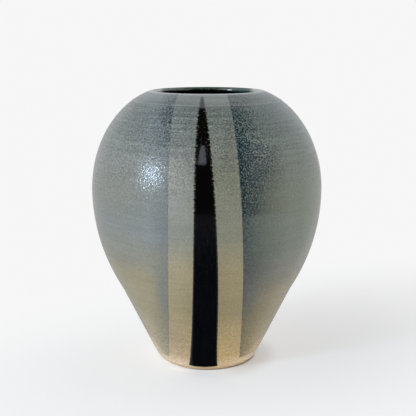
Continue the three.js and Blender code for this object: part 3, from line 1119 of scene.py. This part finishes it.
# %% [markdown]
# ## Gloss black
# The black melted to glass. It could be a plain black with a low roughness, but it has pinholes above the
# belly, bare spots along its edges where it crept between the pebbles, a painted bluish reflection of the
# table below the belly and a thin grey tip. It gets little bump, and the room does the rest.

# %% Black glaze
GLOSS_ROUGHNESS = (0.05, 0.10)
GLOSS_CLOUDS = 0.5
STRIPE_PEBBLES = 0.00003
TABLE_REFLECTION_LEVELS = (REFLECTION_STEP_LEVEL - 0.001, REFLECTION_STEP_LEVEL + 0.001)
HIGH_BLACK = rgb(2, 2, 2)
TABLE_REFLECTION_BLACK = rgb(2, 3, 9)
PINHOLE = rgb(48, 45, 40)
PINHOLE_GRAIN = (0.58, 0.72)
PINHOLE_LEVELS = (0.225, 0.245)
LOW_PINHOLES = 0.4
BARE_SPOT = rgb(150, 138, 108)
BARE_GRAIN = (0.60, 0.70)
BARE_REACH = (0.0003, 0.0024)
LOW_BARE = 0.15
HIGH_BARE = 0.8
BARE_LEVELS = (0.178, 0.225)
THIN_TIP = rgb(88, 92, 92)
TIP_LEVELS = (0.2770, 0.2790)


def gloss_skin(tree, shader, colour, pattern, depth):
    """A gloss glaze: a little cloud in its colour, faint pebbles and a roughness that drifts."""
    height, grain, clouds = pattern
    tree.links.new(shaded(tree, colour, clouds, GLOSS_CLOUDS), shader.inputs["Base Color"])
    tree.links.new(bump(tree, height, depth), shader.inputs["Normal"])
    tree.links.new(fade(tree, grain, *NOISE_MIDDLE, *GLOSS_ROUGHNESS), shader.inputs["Roughness"])


def black_glaze():
    """Gloss black with paler pinholes, bare spots along its sides, a painted bluish reflection of the table
    below the belly and a grey tip."""
    material, tree, shader, where = new_material("black_glaze")
    z = axes(tree, where)["Z"]
    pattern = place_peel(tree, where, PEEL_CELLS)
    grain = pattern["Grain"]
    below = fall(tree, z, *TABLE_REFLECTION_LEVELS)
    # Painted reflection: below the belly the black turns bluish, for the table it would mirror.
    black = blend(tree, below, HIGH_BLACK, TABLE_REFLECTION_BLACK)
    pitted = larger(tree, times(tree, below, LOW_PINHOLES), fade(tree, z, *PINHOLE_LEVELS))
    pinholes = times(tree, fade(tree, grain, *PINHOLE_GRAIN), pitted)
    black = blend(tree, pinholes, black, PINHOLE)
    beside = fall(tree, attribute(tree, "from_side"), *BARE_REACH)
    beside = times(tree, beside, fade(tree, z, *BARE_LEVELS, LOW_BARE, HIGH_BARE))
    bare = times(tree, fade(tree, grain, *BARE_GRAIN), beside)
    black = blend(tree, bare, black, BARE_SPOT)
    colour = blend(tree, fade(tree, z, *TIP_LEVELS), black, THIN_TIP)
    gloss_skin(tree, shader, colour, pattern, STRIPE_PEBBLES)
    return material


black_finish = black_glaze()
count_nodes(black_finish)

# %% [markdown]
# ## Green-black liner
# The liner is gloss too. One dark green would do for its depth, but at the rim it ran down and left a paler
# green and thin pale places at both sides, and the rim's right carries a painted teal reflection of the sky.
# The height, shifted by a noise that makes the runs uneven, reads the colour off a scale.

# %% Liner glaze
LINER_CELLS = 320.0
LINER_PEBBLES = 0.00008
LINER_IOR = 1.75
RUN_LENGTH = 0.004
RUN_MIDDLE = 0.65
RUN_LEVELS = (0.2808, 0.2908)
LINER_STOPS = (
    (0.0, rgb(5, 7, 6)), (0.55, rgb(6, 10, 7)), (0.70, rgb(44, 62, 46)), (0.84, rgb(96, 114, 92)),
    (1.0, rgb(66, 82, 68)),
)
TEAL_SKY_REFLECTION = rgb(58, 82, 82)
SKY_REFLECTION_SIDE = (0.018, 0.038)
SKY_REFLECTION_LEVELS = (0.2835, 0.2865)
THIN_LINER = rgb(188, 192, 180)
THIN_LINER_SIDES = (0.0455, 0.0510)
THIN_LINER_LEVELS = (0.2815, 0.2855)


def dark_green_glaze():
    """Gloss green-black: green at the rim and nearly black below, a painted teal reflection of the sky on the
    right, and thin and pale on the rim's left and right."""
    material, tree, shader, where = new_material("dark_green_glaze")
    place = axes(tree, where)
    x, z = place["X"], place["Z"]
    pattern = place_peel(tree, where, LINER_CELLS)
    run = calc(tree, "MULTIPLY_ADD", minus(tree, pattern["Height"], RUN_MIDDLE), RUN_LENGTH, z)
    colour = ramp(tree, fade(tree, run, *RUN_LEVELS), LINER_STOPS)
    # Painted reflection: teal on the rim's right for the sky it mirrors.
    teal = times(tree, fade(tree, x, *SKY_REFLECTION_SIDE), fade(tree, z, *SKY_REFLECTION_LEVELS))
    colour = blend(tree, teal, colour, TEAL_SKY_REFLECTION)
    side = fade(tree, calc(tree, "ABSOLUTE", x), *THIN_LINER_SIDES)
    thin = times(tree, side, fade(tree, z, *THIN_LINER_LEVELS))
    colour = blend(tree, thin, colour, THIN_LINER)
    gloss_skin(tree, shader, colour, pattern, LINER_PEBBLES)
    shader.inputs["IOR"].default_value = LINER_IOR
    return material


liner_finish = dark_green_glaze()
count_nodes(liner_finish)

# %% [markdown]
# ## Bare clay
# Fired stoneware is matt, with sand in it. A flat peach would look like plastic, so the grain of the orange
# peel group, at the size of sand, darkens it in spots and roughens it.

# %% Bare clay
SAND_CELLS = 900.0
SAND_DEPTH = 0.0002
SAND_GRAIN = (0.5, 0.7)
CLAY_CLOUDS = 0.2
CLAY_ROUGHNESS = (0.8, 0.95)
PALE_CLAY = rgb(228, 200, 164)
SANDY_CLAY = rgb(200, 168, 128)


def bare_clay():
    """Fired clay: matt peach with fine sand in it."""
    material, tree, shader, where = new_material("bare_clay")
    height, grain, clouds = place_peel(tree, where, SAND_CELLS)
    colour = blend(tree, fade(tree, grain, *SAND_GRAIN), PALE_CLAY, SANDY_CLAY)
    tree.links.new(shaded(tree, colour, clouds, CLAY_CLOUDS), shader.inputs["Base Color"])
    tree.links.new(bump(tree, height, SAND_DEPTH), shader.inputs["Normal"])
    tree.links.new(fade(tree, grain, *NOISE_MIDDLE, *CLAY_ROUGHNESS), shader.inputs["Roughness"])
    return material


clay_finish = bare_clay()
count_nodes(clay_finish)

# %% [markdown]
# ## Hand over
# Nothing on a vase moves, so every piece rides on its one body. Each takes its material and stands for one
# imported node, which is then hidden. The slot of the record that it follows is listed beside it, unused.

# %% Hand the pieces over
handed_over = (
    (clay, "clay_body", "bare_clay", clay_finish),
    (tan_coat, "base_glaze", "tan_glaze", tan_finish),
    (spray, "sprayed_glaze", "blue_grey_glaze", spray_finish),
    (stripe, "black_stripe", "black_glaze", black_finish),
    (liner, "liner_glaze", "dark_green_glaze", liner_finish),
)
for piece, node, slot, material in handed_over:
    piece.data.materials.append(material)
    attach(piece, "root")
    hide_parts(node)
    print(piece.name, "stands for", node)

# %% [markdown]
# ## Floor
# The vase stands on a white sweep, where floor and wall can't be told apart. A bent sheet could do that, but
# its fold would shade the pot. So the floor is flat, keeps the shadow near the vase and melts into the
# backdrop further out. A dark line is painted where the foot touches it, as the shadow of that narrow gap,
# and the floor is painted cooler near the foot against the warm light that the foot bounces onto it.

# %% Floor
FLOOR_SIZE = 6.0
FLOOR_LIFT = 0.33
BACKDROP = 0.925
NEAR_FLOOR_AGAINST_BOUNCE = (0.83, 0.85, 0.87, 1)
FAR_FLOOR = (0.845, 0.84, 0.832, 1)
FLOOR_TONES = (0.055, 0.120)
PAINTED_CONTACT_SHADOW = (0.40, 0.40, 0.42, 1)
CONTACT_REACH = (0.0515, 0.0532)
CONTACT_SIDE = (-0.03, 0.0)
RIGHT_SHADE = 0.55
RIGHT_SHADE_REACH = (0.055, 0.085)
RIGHT_SHADE_SIDE = (0.0, 0.04)
LIFT_START = (0.0515, 0.0550)
LEFT_LIFT = 0.004
LEFT_LIFT_SIDE = (-0.045, -0.015)
SWEEP = (0.04, 0.32)
SHADE_OFFSET = 0.07
SHADE_LENGTH = 1.8
SHADE_TURN = math.radians(37)


def floor_colour(tree, x, from_axis):
    """Floor colour: painted cooler near the foot against the warm light it bounces, warm further out, and a
    painted contact shadow as a dark line round the foot's right half.
    """
    # Painted: cooler near the foot to cancel the warm light that the foot bounces onto the floor.
    colour = blend(tree, fade(tree, from_axis, *FLOOR_TONES), NEAR_FLOOR_AGAINST_BOUNCE, FAR_FLOOR)
    # Painted contact shadow: a dark line round the foot's right half.
    contact = times(tree, fall(tree, from_axis, *CONTACT_REACH), fade(tree, x, *CONTACT_SIDE))
    return blend(tree, contact, colour, PAINTED_CONTACT_SHADOW)


def floor_lift(tree, x, from_axis, seen):
    """Light that lifts the floor for the camera: none under the foot and less close to its right."""
    beside = fade(tree, from_axis, *RIGHT_SHADE_REACH, RIGHT_SHADE, 0.0)
    beside = times(tree, beside, fade(tree, x, *RIGHT_SHADE_SIDE))
    past_foot = plus(tree, from_axis, fade(tree, x, *LEFT_LIFT_SIDE, LEFT_LIFT, 0.0))
    clear_of_foot = times(tree, fade(tree, past_foot, *LIFT_START), minus(tree, 1.0, beside))
    return times(tree, clear_of_foot, times(tree, seen, FLOOR_LIFT))


def floor_material():
    """White floor that keeps the shadow. For the camera it is lifted a little and melts into the backdrop
    outside a long shade that points away from the window, and from below it can be seen through."""
    material, tree, shader, where = new_material("white_floor")
    seen = put(tree, "ShaderNodeLightPath").outputs["Is Camera Ray"]
    x, from_axis = axes(tree, where)["X"], from_origin(tree, where)
    shader.inputs["Roughness"].default_value = 1.0
    shader.inputs["Specular IOR Level"].default_value = 0.0
    shader.inputs["Emission Color"].default_value = WHITE
    tree.links.new(floor_colour(tree, x, from_axis), shader.inputs["Base Color"])
    tree.links.new(floor_lift(tree, x, from_axis, seen), shader.inputs["Emission Strength"])
    backdrop = put(tree, "ShaderNodeEmission", [("Color", (BACKDROP, BACKDROP, BACKDROP, 1))]).outputs[0]
    inputs = [(0, where), (1, (SHADE_OFFSET, 0, 0)), (2, (0, 0, SHADE_TURN)), (3, (SHADE_LENGTH, 1, 1))]
    shade = put(tree, "ShaderNodeMapping", inputs, vector_type="TEXTURE").outputs[0]
    sweep = times(tree, fade(tree, from_origin(tree, shade), *SWEEP), seen)
    white = put(tree, "ShaderNodeMixShader", [(0, sweep), (1, shader.outputs[0]), (2, backdrop)]).outputs[0]
    clear = put(tree, "ShaderNodeBsdfTransparent").outputs[0]
    behind = put(tree, "ShaderNodeNewGeometry").outputs["Backfacing"]
    both = put(tree, "ShaderNodeMixShader", [(0, behind), (1, white), (2, clear)]).outputs[0]
    tree.links.new(both, tree.nodes["Material Output"].inputs["Surface"])
    return material


edge = FLOOR_SIZE / 2
corners = np.array([[-edge, -edge, 0], [edge, -edge, 0], [edge, edge, 0], [-edge, edge, 0]])
floor = make_piece("floor", corners, [[0, 1, 2, 3]])
floor.data.materials.append(floor_material())
floor.visible_glossy = False

# %% [markdown]
# ## Surround
# Satin glaze mirrors the whole room as a soft sheen, so the room matters more than the lamps. It could be
# built from walls and cards. Here the world gives each direction its own glow: pale behind and at the sides,
# dark in front and overhead. The camera sees a plain white backdrop instead.

# %% Surround
DARK_GLOW = 0.03
LEFT_SIDE = (-0.42, -0.27)
LEFT_GLOW = (0.60, 0.85)
LEFT_RISE = (-0.2, 0.25)
RIGHT_SIDE = (0.45, 0.70)
RIGHT_GLOW = (0.82, 1.1)
RIGHT_RISE = (0.0, 0.6)
BACK_SIDE = (0.0, 0.25)
BACK_GLOW = 0.6
CORNER_SIDE = (0.2, 0.5)
CORNER_GLOW = 0.45
CORNER_RISE = (-0.2, 0.5)
OVERHEAD = (0.85, 0.97)
LEFT_TABLE_GLOW = 0.56
RIGHT_TABLE_GLOW = 0.68
RIGHT_TABLE_SIDE = (0.27, 0.42)
BACK_TABLE_GLOW = 0.48
BACK_TABLE_SIDE = (0.2, 0.5)
GROUND_GLOW = (0.03, 0.11)
GROUND_RISE = (-0.8, -0.25)
TABLE_EDGE = (-0.25, -0.23)
LEFT_SKY = (1.0, 0.99, 0.98, 1)
RIGHT_SKY = (0.96, 0.99, 1.06, 1)
SKY_SIDE = (-0.3, 0.3)
WARM_GROUND = (1.0, 0.98, 0.94, 1)
SKY_RISE = (-0.2, 0.2)


def room_glow(tree, x, y, z):
    """Brightness above the table: the lightest of the left, the right and the back, and dark overhead."""
    left = times(tree, fall(tree, x, *LEFT_SIDE), fade(tree, z, *LEFT_RISE, *LEFT_GLOW))
    right = times(tree, fade(tree, x, *RIGHT_SIDE), fade(tree, z, *RIGHT_RISE, *RIGHT_GLOW))
    corner = times(tree, fade(tree, x, *CORNER_SIDE), fade(tree, z, *CORNER_RISE, 0.0, CORNER_GLOW))
    back = times(tree, fade(tree, y, *BACK_SIDE), plus(tree, corner, BACK_GLOW))
    opening = larger(tree, larger(tree, left, right), back)
    return larger(tree, times(tree, opening, fall(tree, z, *OVERHEAD)), DARK_GLOW)


def table_glow(tree, x, y, z):
    """Brightness below the table's edge: the lightest of its left, its right, its back and the ground."""
    left = fade(tree, x, *LEFT_SIDE, LEFT_TABLE_GLOW, 0.0)
    table = larger(tree, left, fade(tree, x, *RIGHT_TABLE_SIDE, 0.0, RIGHT_TABLE_GLOW))
    table = larger(tree, table, fade(tree, y, *BACK_TABLE_SIDE, 0.0, BACK_TABLE_GLOW))
    return larger(tree, table, fade(tree, z, *GROUND_RISE, *GROUND_GLOW))


def surround():
    """World colour by direction, bluish above and warm below. The camera sees it as the white backdrop."""
    world = bpy.data.worlds.new("studio")
    world.use_nodes = True
    tree = world.node_tree
    way = axes(tree, put(tree, "ShaderNodeTexCoord").outputs["Generated"])
    x, y, z = way["X"], way["Y"], way["Z"]
    glow = blend(tree, fade(tree, z, *TABLE_EDGE), table_glow(tree, x, y, z), room_glow(tree, x, y, z))
    sky = blend(tree, fade(tree, x, *SKY_SIDE), LEFT_SKY, RIGHT_SKY)
    tint = blend(tree, fade(tree, z, *SKY_RISE), WARM_GROUND, sky)
    seen = put(tree, "ShaderNodeLightPath").outputs["Is Camera Ray"]
    colour = blend(tree, seen, scaled(tree, glow, tint), (BACKDROP, BACKDROP, BACKDROP, 1))
    tree.links.new(colour, tree.nodes["Background"].inputs["Color"])
    return world


studio = surround()
bpy.context.scene.world = studio
count_nodes(studio)

# %% [markdown]
# ## Lamps
# The bright patch on the left of the belly is a window, and the narrow light on the stripe is a tall box
# above the camera. Suns or points would make hard shadows, so all lamps are rectangles. A curtain round the
# window softens the shadow, and a low card lightens the wall above the foot without being mirrored.

# %% Lamps
def soft_box(name, azimuth, elevation, distance, width, height, power, colour, tilt=0):
    """A rectangular lamp in a direction given in degrees round from the camera. It faces the belly, or is
    tilted away from it at the top."""
    lamp = bpy.data.lights.new(name, "AREA")
    lamp.shape = "RECTANGLE"
    lamp.size = width
    lamp.size_y = height
    lamp.energy = power
    lamp.color = colour
    a, e = math.radians(azimuth), math.radians(elevation)
    way = np.array([math.sin(a) * math.cos(e), -math.cos(a) * math.cos(e), math.sin(e)])
    holder = bpy.data.objects.new(name, lamp)
    holder.location = np.array([0, 0, BELLY_HEIGHT]) + distance * way
    holder.rotation_euler = (math.pi / 2 - e + math.radians(tilt), 0, a)
    bpy.context.scene.collection.objects.link(holder)
    print(name, "gives", power, "W")
    return holder


soft_box("window", azimuth=-54.8, elevation=14.9, distance=1.6, width=0.24, height=0.24,
         power=6.7, colour=(0.60, 0.78, 1.0))
soft_box("curtain", azimuth=-52.0, elevation=17.0, distance=1.7, width=0.95, height=0.95,
         power=3.3, colour=(0.80, 0.90, 1.0))
soft_box("front_box", azimuth=-4.8, elevation=41.3, distance=1.622, width=0.13, height=1.25,
         power=1.10, colour=(0.82, 0.86, 1.0), tilt=68.3)
card = soft_box("low_card", azimuth=8, elevation=-12, distance=0.75, width=0.9, height=0.16,
                power=3.0, colour=(1.0, 0.94, 0.84))
card.visible_camera = False
card.visible_glossy = False

# %% [markdown]
# ## Picture settings
# The standard view shows a colour about as it is written. A film-like view could soften the lights, but it
# would shift every glaze.

# %% Picture settings
bpy.context.scene.view_settings.view_transform = "Standard"
